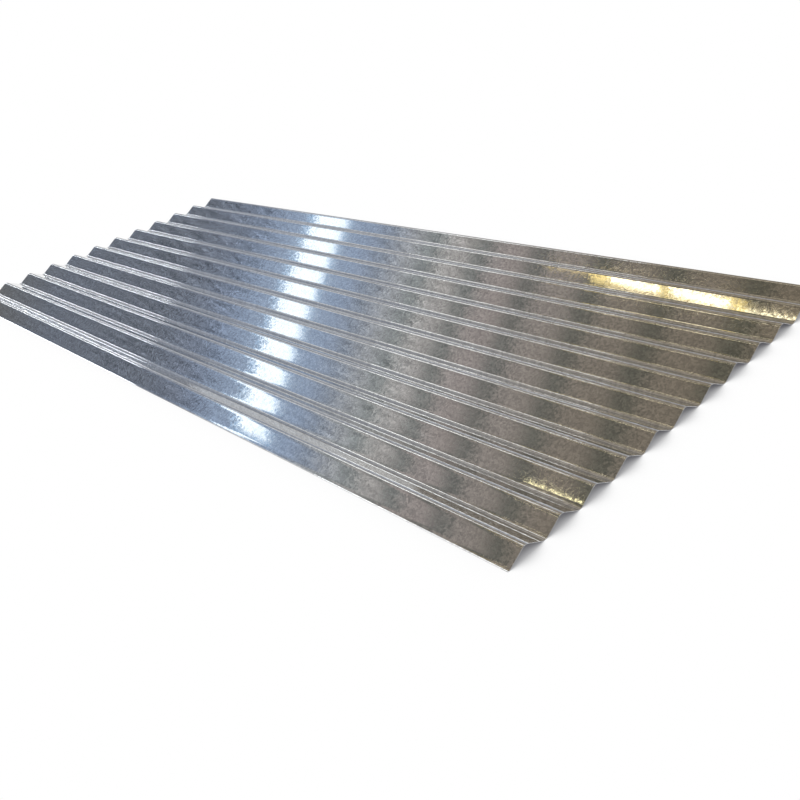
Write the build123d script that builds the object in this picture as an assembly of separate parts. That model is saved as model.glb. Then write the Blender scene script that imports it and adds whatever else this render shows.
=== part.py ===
"""Corrugated metal sheet: one roll-formed sheet of galvanised steel.

Millimetres. X runs along the waves, Y across them and Z up. The origin is on
the floor, below the middle of the sheet. The edge at -Y ends down in a wave's
bottom and the edge at +Y ends up on a wave's top, so that the next sheet laps it.
"""
from build123d import *
import math
import os

# Driving dimensions
SHEET_LENGTH = 2134.0
WAVE_PITCH = 76.2
WAVE_DEPTH = 18.0
SHEET_THICKNESS = 0.5
BEND_RADIUS = 12.0
WAVE_COUNT = 11

# Each wave has a bottom and a top, and one more rise carries the last edge
RISE_COUNT = 2 * WAVE_COUNT + 1

# Slope and length of the straight flank between two bends of the metal's middle
HALF_PITCH = WAVE_PITCH / 2
rise_run = HALF_PITCH / 2
rise_lift = WAVE_DEPTH / 2 - BEND_RADIUS
slope = math.atan2(rise_lift, rise_run) + math.asin(BEND_RADIUS / math.hypot(rise_run, rise_lift))
flank_length = (HALF_PITCH - 2 * BEND_RADIUS * math.sin(slope)) / math.cos(slope)
slope_angle = math.degrees(slope)


def face_line(offset):
    """Draws one face of the sheet from edge to edge, `offset` above the middle."""
    valley_radius = BEND_RADIUS - offset
    crest_radius = BEND_RADIUS + offset
    with BuildLine() as line:
        last = JernArc((0, offset), (1, 0), valley_radius, slope_angle)
        for rise in range(RISE_COUNT):
            goes_up = rise % 2 == 0
            last = Line(last @ 1, last @ 1 + (last % 1) * flank_length)
            turn = slope_angle if rise == RISE_COUNT - 1 else 2 * slope_angle
            radius = crest_radius if goes_up else valley_radius
            last = JernArc(last @ 1, last % 1, radius, -turn if goes_up else turn)
    return line.line


# Cross-section: both faces, closed by the two long edges
half_thickness = SHEET_THICKNESS / 2
top_face = face_line(half_thickness)
bottom_face = face_line(-half_thickness)
first_edge = Line(bottom_face @ 0, top_face @ 0)
last_edge = Line(bottom_face @ 1, top_face @ 1)
section = make_face([*top_face.edges(), *bottom_face.edges(), first_edge, last_edge])

# The section is drawn in Y and Z and drawn out along X
sheet_width = RISE_COUNT * HALF_PITCH
section_plane = Plane(
    origin=(-SHEET_LENGTH / 2, -sheet_width / 2, half_thickness),
    x_dir=(0, 1, 0),
    z_dir=(1, 0, 0),
)
corrugated_sheet = extrude(section_plane * section, amount=SHEET_LENGTH)

# Real overall sizes, for the reader
developed_width = RISE_COUNT * (flank_length + 2 * BEND_RADIUS * slope)
size = corrugated_sheet.bounding_box().size
print(f"overall {size.X:.1f} x {size.Y:.1f} x {size.Z:.2f} mm, flank slope {slope_angle:.1f} degrees")
print(f"flat strip before forming {developed_width:.0f} mm wide, flank {flank_length:.1f} mm")

os.makedirs("parts", exist_ok=True)
export_step(corrugated_sheet, "parts/corrugated_sheet.step")
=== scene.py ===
"""Corrugated sheet of galvanised steel, lying on a pale studio floor.

Metres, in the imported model's own frame: X runs along the waves, Y across them
and Z up, with the origin on the floor below the middle of the sheet. The edge
at -Y ends down in a wave's bottom and the edge at +Y up on a wave's top.
"""
import logging
import math
from collections.abc import Callable
from dataclasses import dataclass
from enum import Enum

import bmesh
import bpy
from mathutils import Matrix, Vector


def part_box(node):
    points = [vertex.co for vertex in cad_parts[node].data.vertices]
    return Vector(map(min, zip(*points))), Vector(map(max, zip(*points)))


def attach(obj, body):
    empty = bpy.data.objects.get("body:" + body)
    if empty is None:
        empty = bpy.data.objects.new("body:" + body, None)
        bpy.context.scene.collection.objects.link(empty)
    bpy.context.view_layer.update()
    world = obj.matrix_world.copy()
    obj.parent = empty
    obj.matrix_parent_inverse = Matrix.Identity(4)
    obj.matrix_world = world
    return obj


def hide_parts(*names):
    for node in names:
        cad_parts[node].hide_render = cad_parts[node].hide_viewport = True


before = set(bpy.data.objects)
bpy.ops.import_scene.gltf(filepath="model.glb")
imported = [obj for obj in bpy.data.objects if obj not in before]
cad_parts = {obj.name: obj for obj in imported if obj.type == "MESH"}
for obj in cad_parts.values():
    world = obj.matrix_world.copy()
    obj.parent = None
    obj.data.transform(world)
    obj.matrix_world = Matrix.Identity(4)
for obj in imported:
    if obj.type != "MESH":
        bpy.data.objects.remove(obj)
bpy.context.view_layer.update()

SHEET_NODE = "corrugated_sheet"
LOG = logging.getLogger("corrugated_sheet")

Socket = bpy.types.NodeSocket
Place = tuple[float, float, float]
Colour = tuple[float, float, float]
Range = tuple[float, float]
Stop = tuple[float, Colour]

WHITE = (1.0, 1.0, 1.0)
UNIT = (0.0, 1.0)

# The mean of noise and of random colours
HALF = 0.5
MIDDLE = (HALF, HALF, HALF)

# Sockets of a Mix node that mixes colours
MIX_FIRST = 6
MIX_SECOND = 7
MIX_RESULT = 2

# How far apart the points of one row, and of one seam, may lie
ROW_TOLERANCE = 1e-6
SEAM_TOLERANCE = 1e-5


class Bend(Enum):
    """Which way the metal turns as the section is followed towards +Y."""

    VALLEY = 1
    CREST = -1


class NodeSketch:
    """A node tree that is drawn one node at a time."""

    def __init__(self, tree: bpy.types.NodeTree) -> None:
        """Starts with the tree of a material or world, and clears it."""
        tree.nodes.clear()
        self.tree = tree

    def add(self, kind: str, inputs: dict | None = None, **settings: object) -> bpy.types.Node:
        """Adds a node, sets its properties and feeds its inputs.

        Args:
            kind: The node's type, such as ShaderNodeTexNoise.
            inputs: What each input gets, by its name or number: a socket to link or a value.
            settings: Properties of the node itself.

        Returns:
            The new node.
        """
        node = self.tree.nodes.new(kind)
        for name, value in settings.items():
            setattr(node, name, value)
        for key, value in (inputs or {}).items():
            if isinstance(value, Socket):
                self.tree.links.new(value, node.inputs[key])
            else:
                node.inputs[key].default_value = value
        return node

    def math(self, operation: str, *values: Socket | float, clamp: bool = False) -> Socket:
        """Adds a Math node and returns its result."""
        node = self.add("ShaderNodeMath", dict(enumerate(values)), operation=operation, use_clamp=clamp)
        return node.outputs["Value"]

    def vector(self, operation: str, *values: Socket | Place) -> Socket:
        """Adds a Vector Math node and returns its vector."""
        node = self.add("ShaderNodeVectorMath", dict(enumerate(values)), operation=operation)
        return node.outputs["Vector"]

    def scaled(self, vector: Socket, factor: Socket | float) -> Socket:
        """Multiplies a vector or a colour by one number."""
        node = self.add("ShaderNodeVectorMath", {0: vector, "Scale": factor}, operation="SCALE")
        return node.outputs["Vector"]

    def mapped(self, value: Socket, ends: Range = UNIT, to: Range = UNIT) -> Socket:
        """Moves a value from one pair of ends to another, and holds it between them."""
        inputs = dict(zip(("Value", "From Min", "From Max", "To Min", "To Max"), (value, *ends, *to)))
        return self.add("ShaderNodeMapRange", inputs).outputs["Result"]

    def noise(self, place: Socket, size: float, detail: float) -> bpy.types.Node:
        """Adds soft noise whose lumps are about one size."""
        return self.add("ShaderNodeTexNoise", {"Vector": place, "Scale": 1.0 / size, "Detail": detail})

    def cells(self, place: Socket, size: float) -> Socket:
        """Fills space with cells of about one size, each in a random colour."""
        node = self.add("ShaderNodeTexVoronoi", {"Vector": place, "Scale": 1.0 / size})
        return node.outputs["Color"]

    def channel(self, colour: Socket, name: str) -> Socket:
        """Takes one channel out of a colour."""
        return self.add("ShaderNodeSeparateColor", {"Color": colour}).outputs[name]

    def ramp(self, factor: Socket, stops: tuple[Stop, ...]) -> Socket:
        """Adds a colour ramp.

        Args:
            factor: What the ramp is read by, from 0 to 1.
            stops: Each stop's place and colour, in order.

        Returns:
            The ramp's colour.
        """
        node = self.add("ShaderNodeValToRGB", {"Fac": factor})
        elements = node.color_ramp.elements
        while len(elements) < len(stops):
            elements.new(1.0)
        for element, (place, colour) in zip(elements, stops):
            element.position = place
            element.color = opaque(colour)
        return node.outputs["Color"]

    def blend(self, share: Socket, first: object, second: object) -> Socket:
        """Mixes two colours.

        Args:
            share: The share of the second colour.
            first: The first colour, as a socket or as red, green, blue and alpha.
            second: The second colour, likewise.

        Returns:
            The mixed colour.
        """
        inputs = {"Factor": share, MIX_FIRST: first, MIX_SECOND: second}
        return self.add("ShaderNodeMix", inputs, data_type="RGBA").outputs[MIX_RESULT]


def opaque(colour: Colour) -> tuple[float, float, float, float]:
    """Gives a colour its alpha, as a colour socket wants it."""
    return (*colour, 1.0)


def new_material(name: str) -> tuple[bpy.types.Material, NodeSketch]:
    """Makes a material with nothing in its node tree.

    Args:
        name: The material's name.

    Returns:
        The material, and the sketch that its nodes are drawn in.
    """
    material = bpy.data.materials.new(name)
    material.use_nodes = True
    return material, NodeSketch(material.node_tree)


@dataclass(frozen=True)
class GalvanisedSteel:
    """Hot-dip zinc: small bright crystals that each tilt the reflection a little.

    A crystal holds finer feathers. Both differ in tone and tilt, and the tilt is weaker across the
    sheet than along it. Some crystals are dull. Clouds of tarnish lie over them, and faint streaks
    run along the sheet.
    """

    crystal_size: float = 0.0040
    crystal_share: float = 0.6
    crystal_tilt: float = 0.005
    feather_size: float = 0.0018
    feather_share: float = 0.4
    feather_tilt: float = 0.003
    tilt_along_axes: Place = (1.0, 0.3, 1.0)
    warp_size: float = 0.0025
    warp_detail: float = 2.0
    warp_reach: float = 0.0022
    dark_zinc: Stop = (0.2, (0.545, 0.555, 0.575))
    light_zinc: Stop = (0.8, (0.83, 0.84, 0.855))
    dull_crystals: Range = (0.45, 0.75)
    roughness: Range = (0.02, 0.05)
    tarnish: Colour = (0.66, 0.64, 0.61)
    tarnish_share: float = 0.35
    cloud_size: float = 0.14
    cloud_detail: float = 4.0
    cloud_cover: Range = (-0.4, 1.6)
    cloud_roughness: float = 0.04
    streak_width: float = 0.006
    streak_length: float = 0.5
    streak_detail: float = 3.0
    streak_shade: Range = (0.88, 1.12)

    def material(self) -> bpy.types.Material:
        """Builds the finish on Object coordinates.

        Returns:
            The new material.
        """
        material, sketch = new_material("galvanised_steel")
        place = sketch.add("ShaderNodeTexCoord").outputs["Object"]
        crystal, feather = self._crystals(sketch, place)
        clouds = sketch.noise(place, self.cloud_size, self.cloud_detail).outputs["Fac"]
        zinc = self._zinc(sketch, crystal, feather)
        shader = sketch.add("ShaderNodeBsdfPrincipled", {
            "Base Color": self._weathered(sketch, place, zinc, clouds),
            "Metallic": 1.0,
            "Roughness": self._roughness(sketch, crystal, clouds),
            "Normal": self._normal(sketch, crystal, feather),
        })
        sketch.add("ShaderNodeOutputMaterial", {"Surface": shader.outputs["BSDF"]})
        return material

    def _crystals(self, sketch: NodeSketch, place: Socket) -> tuple[Socket, Socket]:
        """Divides the surface into crystals and feathers, with borders that waver.

        Args:
            sketch: The tree that the nodes go into.
            place: Where the surface is.

        Returns:
            The random colours of the crystals and of the feathers.
        """
        warp = sketch.noise(place, self.warp_size, self.warp_detail).outputs["Color"]
        shift = sketch.scaled(sketch.vector("SUBTRACT", warp, MIDDLE), self.warp_reach)
        warped = sketch.vector("ADD", place, shift)
        return sketch.cells(warped, self.crystal_size), sketch.cells(warped, self.feather_size)

    def _zinc(self, sketch: NodeSketch, crystal: Socket, feather: Socket) -> Socket:
        """Gives each crystal and feather a grey of its own.

        Args:
            sketch: The tree that the nodes go into.
            crystal: The random colours of the crystals.
            feather: The random colours of the feathers.

        Returns:
            The colour of clean zinc.
        """
        coarse = sketch.math("MULTIPLY", sketch.channel(crystal, "Red"), self.crystal_share)
        fine = sketch.math("MULTIPLY", sketch.channel(feather, "Red"), self.feather_share)
        return sketch.ramp(sketch.math("ADD", coarse, fine), (self.dark_zinc, self.light_zinc))

    def _weathered(self, sketch: NodeSketch, place: Socket, zinc: Socket, clouds: Socket) -> Socket:
        """Lays clouds of tarnish over the zinc, and faint streaks from rolling.

        Args:
            sketch: The tree that the nodes go into.
            place: Where the surface is.
            zinc: The colour of clean zinc.
            clouds: How cloudy the surface is, from 0 to 1.

        Returns:
            The finished colour.
        """
        cloudy = sketch.mapped(clouds, to=self.cloud_cover)
        cover = sketch.math("MULTIPLY", cloudy, self.tarnish_share, clamp=True)
        tarnished = sketch.blend(cover, zinc, opaque(self.tarnish))
        per_metre = (1.0 / self.streak_length, 1.0 / self.streak_width, 1.0 / self.streak_width)
        stretched = sketch.vector("MULTIPLY", place, per_metre)
        streaks = sketch.noise(stretched, 1.0, self.streak_detail).outputs["Fac"]
        return sketch.scaled(tarnished, sketch.mapped(streaks, to=self.streak_shade))

    def _roughness(self, sketch: NodeSketch, crystal: Socket, clouds: Socket) -> Socket:
        """Lets most crystals shine, and dulls a few of them and the clouds.

        Args:
            sketch: The tree that the nodes go into.
            crystal: The random colours of the crystals.
            clouds: How cloudy the surface is, from 0 to 1.

        Returns:
            The roughness.
        """
        by_crystal = sketch.mapped(sketch.channel(crystal, "Green"), self.dull_crystals, self.roughness)
        by_cloud = sketch.math("MULTIPLY", clouds, self.cloud_roughness)
        return sketch.math("ADD", by_crystal, by_cloud)

    def _normal(self, sketch: NodeSketch, crystal: Socket, feather: Socket) -> Socket:
        """Tilts the surface's own normal, crystal by crystal.

        Args:
            sketch: The tree that the nodes go into.
            crystal: The random colours of the crystals.
            feather: The random colours of the feathers.

        Returns:
            The tilted normal.
        """
        normal = sketch.add("ShaderNodeNewGeometry").outputs["Normal"]
        by_crystal = sketch.scaled(sketch.vector("SUBTRACT", crystal, MIDDLE), self.crystal_tilt)
        by_feather = sketch.scaled(sketch.vector("SUBTRACT", feather, MIDDLE), self.feather_tilt)
        tilt = sketch.vector("MULTIPLY", sketch.vector("ADD", by_crystal, by_feather), self.tilt_along_axes)
        return sketch.vector("NORMALIZE", sketch.vector("ADD", normal, tilt))


@dataclass(frozen=True)
class PaleFloor:
    """A white floor with a painted shadow, darker only where the sheet stands close over it."""

    shadow: Stop = (0.0, (0.07, 0.07, 0.08))
    half_shade: Stop = (0.5, (0.42, 0.42, 0.43))
    clear: Stop = (0.95, WHITE)
    reach: float = 0.07
    samples: int = 16
    paint: Colour = (0.8, 0.8, 0.8)

    def material(self) -> bpy.types.Material:
        """Builds the floor: painted for the light, and white with a painted shadow for the camera and
        reflections.

        Returns:
            The new material.
        """
        material, sketch = new_material("pale_floor")
        # Painted shadow: ambient occlusion darkens the floor's white glow where the sheet stands close over
        # it
        near = sketch.add("ShaderNodeAmbientOcclusion", {"Distance": self.reach}, samples=self.samples)
        tone = sketch.ramp(near.outputs["AO"], (self.shadow, self.half_shade, self.clear))
        glow = sketch.add("ShaderNodeEmission", {"Color": tone}).outputs["Emission"]
        paint = sketch.add("ShaderNodeBsdfDiffuse", {"Color": opaque(self.paint)}).outputs["BSDF"]
        surface = sketch.add("ShaderNodeMixShader", {0: self._seen(sketch), 1: paint, 2: glow})
        sketch.add("ShaderNodeOutputMaterial", {"Surface": surface.outputs["Shader"]})
        return material

    def _seen(self, sketch: NodeSketch) -> Socket:
        """Tells rays that show the floor from those that only light the scene.

        Args:
            sketch: The tree that the nodes go into.

        Returns:
            One for camera, glossy and transmission rays, and nought for the rest.
        """
        path = sketch.add("ShaderNodeLightPath").outputs
        shiny = sketch.math("MAXIMUM", path["Is Glossy Ray"], path["Is Transmission Ray"])
        return sketch.math("MAXIMUM", path["Is Camera Ray"], shiny)


# Tones of the overhead panels, from the sheet's +X end to far past its other end
PALE_PANEL = (0.46, 0.465, 0.475)
WARM_SHADE = (0.225, 0.185, 0.13)
WARM_BROWN = (0.275, 0.238, 0.195)
MUSHROOM = (0.346, 0.308, 0.276)
PINK_GREY = (0.40, 0.355, 0.335)
PALE_GREY = (0.51, 0.50, 0.485)
SILVER = (0.445, 0.465, 0.486)
BLUE_GREY = (0.37, 0.42, 0.52)
SKY_BLUE = (0.365, 0.458, 0.615)
STEEL_BLUE = (0.262, 0.322, 0.435)
PALE_SLATE = (0.225, 0.26, 0.334)
SLATE = (0.191, 0.215, 0.262)
DUSK = (0.178, 0.175, 0.160)

# Tones of the plain panels at both sides
WARM_SIDE = (0.28, 0.23, 0.155)
WARM_GREY = (0.34, 0.305, 0.26)
OPEN_GREY = (0.43, 0.42, 0.41)
HAZE = (0.35, 0.388, 0.46)
FAR_LIGHT = (0.50, 0.51, 0.535)

# Shares of the fine clutter
CALM = (0.06, 0.06, 0.06)
LIVELY = (0.50, 0.50, 0.50)


@dataclass(frozen=True)
class SlattedCeiling:
    """The glow of the overhead panels: slatted over the middle, plain and brighter at both sides.

    Each row of tones gives places along the panels, by how far they lie from the sheet's middle
    towards -X, and the tone there. The rows start behind the middle and end at the panels' reach.
    """

    reach: float = 30.0
    behind: float = 4.0
    slat_spacing: float = 0.85
    slat_core: float = 0.11
    slat_edge: float = 0.08
    slat_offset: float = 0.57
    slat_shade: Colour = (0.54, 0.61, 0.61)
    slats_end: float = 5.8
    slats_fade: float = 1.9
    left_side: float = 1.6
    right_side: float = -3.4
    side_blend: float = 0.6
    clutter_size: float = 0.07
    clutter_detail: float = 0.0
    clutter_band: Range = (0.45, 0.55)
    clutter_depth: float = 0.95
    ragged_size: float = 0.03
    ragged_detail: float = 1.0
    ragged_depth: float = 0.8
    middle_tones: tuple[Stop, ...] = (
        (-4.0, PALE_PANEL), (1.2, WARM_SHADE), (3.3, WARM_BROWN), (4.1, MUSHROOM), (5.0, PINK_GREY),
        (5.95, PALE_GREY), (6.6, SILVER), (7.1, BLUE_GREY), (7.5, SKY_BLUE), (9.35, SKY_BLUE),
        (9.95, STEEL_BLUE), (10.7, PALE_SLATE), (11.8, SLATE), (16.0, SLATE), (21.0, DUSK),
    )
    side_tones: tuple[Stop, ...] = (
        (-4.0, PALE_PANEL), (1.2, WARM_SIDE), (5.4, WARM_GREY), (8.0, OPEN_GREY), (12.5, HAZE),
        (17.0, HAZE), (22.0, FAR_LIGHT),
    )
    clutter_tones: tuple[Stop, ...] = (
        (4.6, CALM), (5.9, LIVELY), (7.2, LIVELY), (7.6, CALM), (9.3, CALM), (10.0, WHITE), (12.5, WHITE),
        (14.5, LIVELY),
    )

    def material(self) -> bpy.types.Material:
        """Builds the panels' glow by their distance from the middle, along X and Y.

        Returns:
            The new material.
        """
        material, sketch = new_material("slatted_ceiling")
        place = sketch.add("ShaderNodeTexCoord").outputs["Object"]
        parts = sketch.add("ShaderNodeSeparateXYZ", {"Vector": place}).outputs
        away = sketch.math("MULTIPLY", parts["X"], -1.0)
        ragged = self._ragged(sketch, place, away)
        tones = self._tones(sketch, ragged, self.middle_tones)
        panels = sketch.vector("MULTIPLY", tones, self._slats(sketch, ragged))
        middle = sketch.scaled(panels, self._clutter(sketch, place, away))
        plain = self._tones(sketch, away, self.side_tones)
        glow = sketch.blend(self._side(sketch, parts["Y"]), middle, plain)
        emission = sketch.add("ShaderNodeEmission", {"Color": glow})
        sketch.add("ShaderNodeOutputMaterial", {"Surface": emission.outputs["Emission"]})
        return material

    def _past(self, sketch: NodeSketch, place: Socket, line: float, blend: float) -> Socket:
        """Rises from nought at a line to one where its soft border ends."""
        return sketch.mapped(place, (line, line + blend))

    def _side(self, sketch: NodeSketch, across: Socket) -> Socket:
        """Tells the plain panels at both sides from the slatted ones.

        Args:
            sketch: The tree that the nodes go into.
            across: The place along Y.

        Returns:
            One over the sides and nought over the middle.
        """
        left = self._past(sketch, across, self.left_side, self.side_blend)
        right = self._past(sketch, across, self.right_side, -self.side_blend)
        return sketch.math("MAXIMUM", left, right)

    def _tones(self, sketch: NodeSketch, away: Socket, tones: tuple[Stop, ...]) -> Socket:
        """Reads a row of tones.

        Args:
            sketch: The tree that the nodes go into.
            away: The distance towards -X.
            tones: The row of places and tones.

        Returns:
            The tone at that distance.
        """
        span = self.reach + self.behind
        stops = tuple(((place + self.behind) / span, colour) for place, colour in tones)
        share = sketch.math("DIVIDE", sketch.math("ADD", away, self.behind), span)
        return sketch.ramp(share, stops)

    def _ragged(self, sketch: NodeSketch, place: Socket, away: Socket) -> Socket:
        """Moves each speck of the panels a little, so that their borders look ragged.

        Args:
            sketch: The tree that the nodes go into.
            place: Where the panel is.
            away: The distance towards -X.

        Returns:
            The distance with its specks moved.
        """
        speck = sketch.noise(place, self.ragged_size, self.ragged_detail).outputs["Fac"]
        centred = sketch.math("SUBTRACT", speck, HALF)
        return sketch.math("ADD", away, sketch.math("MULTIPLY", centred, self.ragged_depth))

    def _slats(self, sketch: NodeSketch, away: Socket) -> Socket:
        """Lays soft dark slats across the panels, which fade out past their end.

        Args:
            sketch: The tree that the nodes go into.
            away: The distance towards -X.

        Returns:
            The slats' shade, and white between them.
        """
        shifted = sketch.math("ADD", away, self.slat_offset)
        from_slat = sketch.math("PINGPONG", shifted, self.slat_spacing / 2)
        between = self._past(sketch, from_slat, self.slat_core, self.slat_edge)
        past_end = self._past(sketch, away, self.slats_end, self.slats_fade)
        open_share = sketch.math("MAXIMUM", between, past_end)
        return sketch.blend(open_share, opaque(self.slat_shade), opaque(WHITE))

    def _clutter(self, sketch: NodeSketch, place: Socket, away: Socket) -> Socket:
        """Sets fine light and dark over parts of the panels, which the crystals break into grain.

        Args:
            sketch: The tree that the nodes go into.
            place: Where the panel is.
            away: The distance towards -X.

        Returns:
            The shade that the panels are multiplied by.
        """
        speck = sketch.noise(place, self.clutter_size, self.clutter_detail).outputs["Fac"]
        shades = (1.0 - self.clutter_depth, 1.0 + self.clutter_depth)
        crisp = sketch.mapped(speck, self.clutter_band, shades)
        share = self._tones(sketch, away, self.clutter_tones)
        rise = sketch.math("MULTIPLY", sketch.math("SUBTRACT", crisp, 1.0), share)
        return sketch.math("ADD", rise, 1.0)


def select_where(sheet: bpy.types.Object, wanted: Callable[[Vector], bool]) -> None:
    """Selects the vertices whose place passes a test.

    Args:
        sheet: The object, in edit mode.
        wanted: The test.
    """
    bpy.ops.mesh.select_all(action="DESELECT")
    mesh = bmesh.from_edit_mesh(sheet.data)
    for vertex in mesh.verts:
        vertex.select = bool(wanted(vertex.co))
    mesh.select_flush(True)
    bmesh.update_edit_mesh(sheet.data)


@dataclass
class SectionPen:
    """Draws a section towards +Y in edit mode, from the last row of a sheet's edges."""

    sheet: bpy.types.Object
    bend_radius: float
    heading: float = 0.0

    def turn(self, bend: Bend, angle: float, steps: int) -> None:
        """Spins the last row through a bend.

        Args:
            bend: Whether the metal turns up or down.
            angle: How far it turns, in radians.
            steps: How many faces the bend gets.
        """
        row = self._last_row()
        normal = Vector((0.0, -math.sin(self.heading), math.cos(self.heading)))
        centre = row + normal * self.bend_radius * bend.value
        # Spin takes a turn from +Y towards -Z as positive about this axis
        bpy.ops.mesh.spin(steps=steps, angle=-angle * bend.value, center=centre, axis=(1.0, 0.0, 0.0))
        self.heading += angle * bend.value

    def run(self, steps: tuple[float, ...]) -> None:
        """Extrudes the last row straight ahead.

        Args:
            steps: The width of each face, in order.
        """
        along = Vector((0.0, math.cos(self.heading), math.sin(self.heading)))
        for step in steps:
            self._last_row()
            bpy.ops.mesh.extrude_edges_move(TRANSFORM_OT_translate={"value": along * step})

    def _last_row(self) -> Vector:
        """Selects the row that the section has reached.

        Returns:
            The place of one of its points.
        """
        mesh = bmesh.from_edit_mesh(self.sheet.data)
        reach = max(vertex.co.y for vertex in mesh.verts)
        select_where(self.sheet, lambda spot: spot.y > reach - ROW_TOLERANCE)
        mesh = bmesh.from_edit_mesh(self.sheet.data)
        return next(vertex.co.copy() for vertex in mesh.verts if vertex.select)


@dataclass
class CorrugatedSheet:
    """The roll-formed sheet: one wave is spun and extruded, then repeated and given its gauge."""

    low: Vector
    high: Vector
    finish: GalvanisedSteel = GalvanisedSteel()
    gauge: float = 0.0005
    bend_radius: float = 0.012
    wave_count: int = 11
    length_steps: int = 96
    bend_steps: int = 4
    flank_rim: float = 0.0016
    flank_steps: int = 2
    smooth_angle: float = 30.0

    @property
    def length(self) -> float:
        """The sheet's length along X."""
        return self.high.x - self.low.x

    @property
    def pitch(self) -> float:
        """The distance from one crest to the next, with half a wave past the last whole one."""
        return (self.high.y - self.low.y) / (self.wave_count + 0.5)

    @property
    def depth(self) -> float:
        """The rise of the metal's middle, from a valley to a crest."""
        return self.high.z - self.low.z - self.gauge

    @property
    def slope(self) -> float:
        """The angle of the straight flanks.

        Returns:
            The angle from level, in radians.
        """
        run = self.pitch / 4
        lift = self.depth / 2 - self.bend_radius
        return math.atan2(lift, run) + math.asin(self.bend_radius / math.hypot(run, lift))

    @property
    def flank_length(self) -> float:
        """The straight length between two bends."""
        return (self.pitch / 2 - 2 * self.bend_radius * math.sin(self.slope)) / math.cos(self.slope)

    def build(self) -> bpy.types.Object:
        """Makes the sheet, dresses it and puts it in the frame.

        Returns:
            The finished piece.
        """
        sheet = self._first_row()
        self._draw_wave(sheet)
        self._repeat_wave(sheet)
        self._give_gauge(sheet)
        sheet.data.materials.clear()
        sheet.data.materials.append(self.finish.material())
        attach(sheet, "root")
        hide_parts(SHEET_NODE)
        return sheet

    def _first_row(self) -> bpy.types.Object:
        """Lays one row of edges along the bottom of the first valley.

        Returns:
            The sheet, in edit mode.
        """
        bpy.ops.object.select_all(action="DESELECT")
        side = 1.0
        bpy.ops.mesh.primitive_grid_add(x_subdivisions=self.length_steps, y_subdivisions=1, size=side)
        sheet = bpy.context.object
        sheet.name = "galvanised_sheet"
        bpy.ops.object.mode_set(mode="EDIT")
        bpy.ops.transform.translate(value=(0.0, side / 2, 0.0))
        select_where(sheet, lambda spot: spot.y > side / 2)
        bpy.ops.mesh.delete(type="VERT")
        bpy.ops.mesh.select_all(action="SELECT")
        bpy.ops.transform.resize(value=(self.length / side, 1.0, 1.0))
        valley = ((self.low.x + self.high.x) / 2, self.low.y, self.low.z + self.gauge / 2)
        bpy.ops.transform.translate(value=valley)
        return sheet

    def _draw_wave(self, sheet: bpy.types.Object) -> None:
        """Forms one whole wave, from the bottom of a valley to the bottom of the next.

        Args:
            sheet: The first row, in edit mode.
        """
        pen = SectionPen(sheet, self.bend_radius)
        middle = (self.flank_length - 2 * self.flank_rim) / self.flank_steps
        flank = (self.flank_rim, *[middle] * self.flank_steps, self.flank_rim)
        pen.turn(Bend.VALLEY, self.slope, self.bend_steps)
        pen.run(flank)
        pen.turn(Bend.CREST, 2 * self.slope, 2 * self.bend_steps)
        pen.run(flank)
        pen.turn(Bend.VALLEY, self.slope, self.bend_steps)
        bpy.ops.object.mode_set(mode="OBJECT")

    def _repeat_wave(self, sheet: bpy.types.Object) -> None:
        """Repeats the wave across the sheet and cuts the last one off on its crest.

        Args:
            sheet: The sheet with one wave, in object mode.
        """
        array = sheet.modifiers.new("waves", "ARRAY")
        array.count = self.wave_count + 1
        array.use_relative_offset = False
        array.use_constant_offset = True
        array.constant_offset_displace = (0.0, self.pitch, 0.0)
        array.use_merge_vertices = True
        array.merge_threshold = SEAM_TOLERANCE
        bpy.ops.object.modifier_apply(modifier=array.name)
        bpy.ops.object.mode_set(mode="EDIT")
        bpy.ops.mesh.select_all(action="SELECT")
        bpy.ops.mesh.bisect(plane_co=(0.0, self.high.y, 0.0), plane_no=(0.0, 1.0, 0.0), clear_outer=True)
        bpy.ops.mesh.select_all(action="SELECT")
        bpy.ops.mesh.remove_doubles(threshold=ROW_TOLERANCE)
        bpy.ops.mesh.normals_make_consistent(inside=False)
        bpy.ops.object.mode_set(mode="OBJECT")

    def _give_gauge(self, sheet: bpy.types.Object) -> None:
        """Gives the metal its thickness, squares its long edges and smooths its bends.

        Args:
            sheet: The sheet with all its waves, in object mode.
        """
        solidify = sheet.modifiers.new("gauge", "SOLIDIFY")
        solidify.thickness = self.gauge
        solidify.offset = 0.0
        solidify.use_even_offset = True
        bpy.ops.object.modifier_apply(modifier=solidify.name)
        bpy.ops.object.mode_set(mode="EDIT")
        for side in (self.low.y, self.high.y):
            select_where(sheet, lambda spot: abs(spot.y - side) < self.gauge)
            bpy.ops.transform.resize(value=(1.0, 0.0, 1.0), center_override=(0.0, side, 0.0))
        bpy.ops.object.mode_set(mode="OBJECT")
        bpy.ops.object.shade_smooth_by_angle(angle=math.radians(self.smooth_angle))


@dataclass(frozen=True)
class Softbox:
    """A flat lamp that hangs level under the ceiling, seen in reflections but not by the camera.

    It lies along X and across Y, from and to the places given, and may be turned a few degrees
    about its middle. Its glow is how bright it looks, where 1 is as bright as a white background.
    """

    name: str
    along: Range
    across: Range
    glow: float
    colour: Colour
    turn: float = 0.0

    def hang(self, height: float) -> None:
        """Makes the lamp.

        Args:
            height: Its height above the floor.
        """
        lamp = bpy.data.lights.new(self.name, "AREA")
        lamp.shape = "RECTANGLE"
        lamp.size = self.along[1] - self.along[0]
        lamp.size_y = self.across[1] - self.across[0]
        lamp.color = self.colour
        lamp.energy = self.glow * math.pi * lamp.size * lamp.size_y
        holder = bpy.data.objects.new(self.name, lamp)
        holder.location = (sum(self.along) / 2, sum(self.across) / 2, height)
        holder.rotation_euler.z = math.radians(self.turn)
        holder.visible_camera = False
        bpy.context.collection.objects.link(holder)


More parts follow.
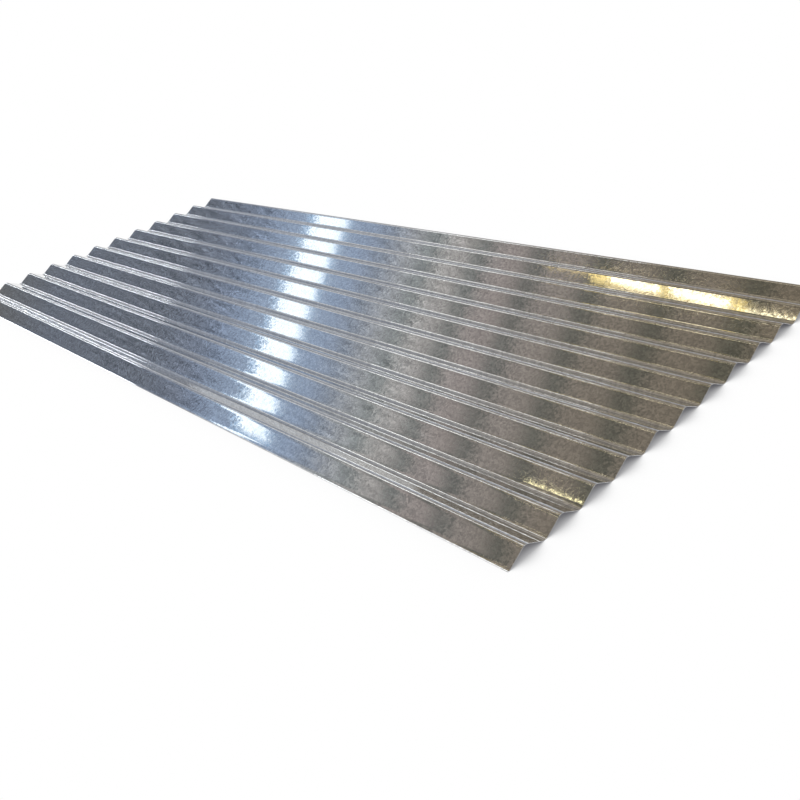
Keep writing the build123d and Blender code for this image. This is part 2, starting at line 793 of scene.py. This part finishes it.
DAYLIGHT = (0.94, 0.98, 1.0)
PALE_BLUE = (0.30, 0.67, 1.0)
PEARL = (1.0, 0.97, 0.87)
WARM_LIGHT = (1.0, 0.94, 0.74)
AMBER = (1.0, 0.76, 0.25)
YELLOW_LIGHT = (1.0, 0.90, 0.48)

# The glows of lamps that overlap add up
SOFTBOXES = (
    Softbox("cross_halo", (-8.92, -7.94), (-2.86, 1.06), 0.32, PALE_BLUE),
    Softbox("cross_strip", (-8.77, -8.03), (-2.8, 1.0), 1.05, PEARL),
    Softbox("side_panel", (-10.5, -5.2), (1.9, 4.2), 0.38, DAYLIGHT),
    Softbox("long_light", (-7.0, -3.4), (2.48, 2.84), 3.0, DAYLIGHT),
    Softbox("long_light_near", (-3.4, -1.2), (2.48, 2.84), 0.7, WARM_LIGHT),
    Softbox("long_light_far", (-24.0, -12.6), (2.48, 2.84), 9.0, DAYLIGHT),
    Softbox("warm_tube_far", (-3.50, -2.92), (0.588, 0.652), 3.0, WARM_LIGHT, -2.8),
    Softbox("warm_tube_near", (-2.79, -2.17), (0.560, 0.636), 3.0, WARM_LIGHT, -3.6),
    Softbox("warm_edge", (-4.40, -3.50), (0.655, 0.675), 2.2, AMBER, -1.0),
    Softbox("warm_tail", (-2.04, -1.50), (0.522, 0.544), 3.2, WARM_LIGHT),
    Softbox("warm_halo", (-3.74, -2.00), (0.535, 0.675), 1.05, AMBER, -1.5),
    Softbox("warm_tail_halo", (-2.10, -1.40), (0.515, 0.560), 0.9, AMBER),
    Softbox("warm_tube_side", (-3.60, -2.85), (-1.915, -1.901), 5.0, YELLOW_LIGHT),
)


@dataclass(frozen=True)
class Studio:
    """The floor, the overhead panels and the softboxes that hang under them."""

    ceiling_height: float = 6.3
    ceiling_size: float = 240.0
    floor_size: float = 60.0
    floor_shift: float = 10.0
    lamp_drop: float = 0.02
    lamp_spread: float = 0.01

    def build(self) -> None:
        """Builds the stage, its lamps and the world."""
        self._floor()
        self._ceiling()
        step = self.lamp_spread / len(SOFTBOXES)
        lowest = self.ceiling_height - self.lamp_drop
        for order, softbox in enumerate(reversed(SOFTBOXES)):
            softbox.hang(lowest + order * step)
        self._world()

    def _floor(self) -> None:
        """Lays the floor, off centre so that its diagonal doesn't run under the sheet."""
        bpy.ops.object.select_all(action="DESELECT")
        middle = (self.floor_shift, -self.floor_shift, 0.0)
        bpy.ops.mesh.primitive_plane_add(size=self.floor_size, location=middle)
        floor = bpy.context.object
        floor.name = "studio_floor"
        floor.data.materials.append(PaleFloor().material())

    def _ceiling(self) -> None:
        """Hangs the glowing panels face down, where only reflections and light rays meet them."""
        bpy.ops.object.select_all(action="DESELECT")
        bpy.ops.mesh.primitive_plane_add(size=self.ceiling_size)
        ceiling = bpy.context.object
        ceiling.name = "studio_ceiling"
        bpy.ops.object.mode_set(mode="EDIT")
        bpy.ops.mesh.flip_normals()
        bpy.ops.transform.translate(value=(0.0, 0.0, self.ceiling_height))
        bpy.ops.object.mode_set(mode="OBJECT")
        ceiling.data.materials.append(SlattedCeiling().material())
        ceiling.visible_camera = False

    def _world(self) -> None:
        """Surrounds everything with plain white."""
        world = bpy.data.worlds.new("studio_world")
        bpy.context.scene.world = world
        world.use_nodes = True
        sketch = NodeSketch(world.node_tree)
        background = sketch.add("ShaderNodeBackground", {"Color": opaque(WHITE), "Strength": 1.0})
        sketch.add("ShaderNodeOutputWorld", {"Surface": background.outputs["Background"]})


@dataclass(frozen=True)
class PhotoCamera:
    """The camera as it was fitted to the photograph.

    Its places are in metres, its roll in degrees, its focal length in pixels and its sensor in
    millimetres.
    """

    place: Place = (1.7042, -1.0156, 0.7518)
    aim: Place = (0.6052, -0.2004, 0.0)
    roll: float = -13.256
    focal_pixels: float = 867.3
    image_pixels: float = 800.0
    sensor: float = 36.0
    view_range: float = 200.0

    def build(self) -> None:
        """Makes the camera and gives it to the scene."""
        camera = bpy.data.cameras.new("photo_camera")
        camera.sensor_width = self.sensor
        camera.lens = self.focal_pixels * self.sensor / self.image_pixels
        camera.clip_end = self.view_range
        forward = (Vector(self.aim) - Vector(self.place)).normalized()
        level = forward.cross(Vector((0.0, 0.0, 1.0))).normalized()
        right = Matrix.Rotation(math.radians(-self.roll), 3, forward) @ level
        up = right.cross(forward)
        turn = Matrix((right, up, -forward)).transposed()
        holder = bpy.data.objects.new("photo_camera", camera)
        holder.matrix_world = Matrix.Translation(self.place) @ turn.to_4x4()
        bpy.context.collection.objects.link(holder)
        bpy.context.scene.camera = holder


def main() -> None:
    """Builds the sheet, the studio and the camera, and reports each."""
    logging.basicConfig(level=logging.INFO, format="%(name)s: %(message)s")
    low, high = (Vector(corner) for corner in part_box(SHEET_NODE))
    sheet = CorrugatedSheet(low, high).build()
    LOG.info("%s: %d faces, pitch and slope from the frame", sheet.name, len(sheet.data.polygons))
    Studio().build()
    LOG.info("studio built, with %d lamps", len(SOFTBOXES))
    PhotoCamera().build()
    LOG.info("camera placed")
    bpy.context.scene.view_settings.view_transform = "Standard"


if __name__ == "__main__":
    main()
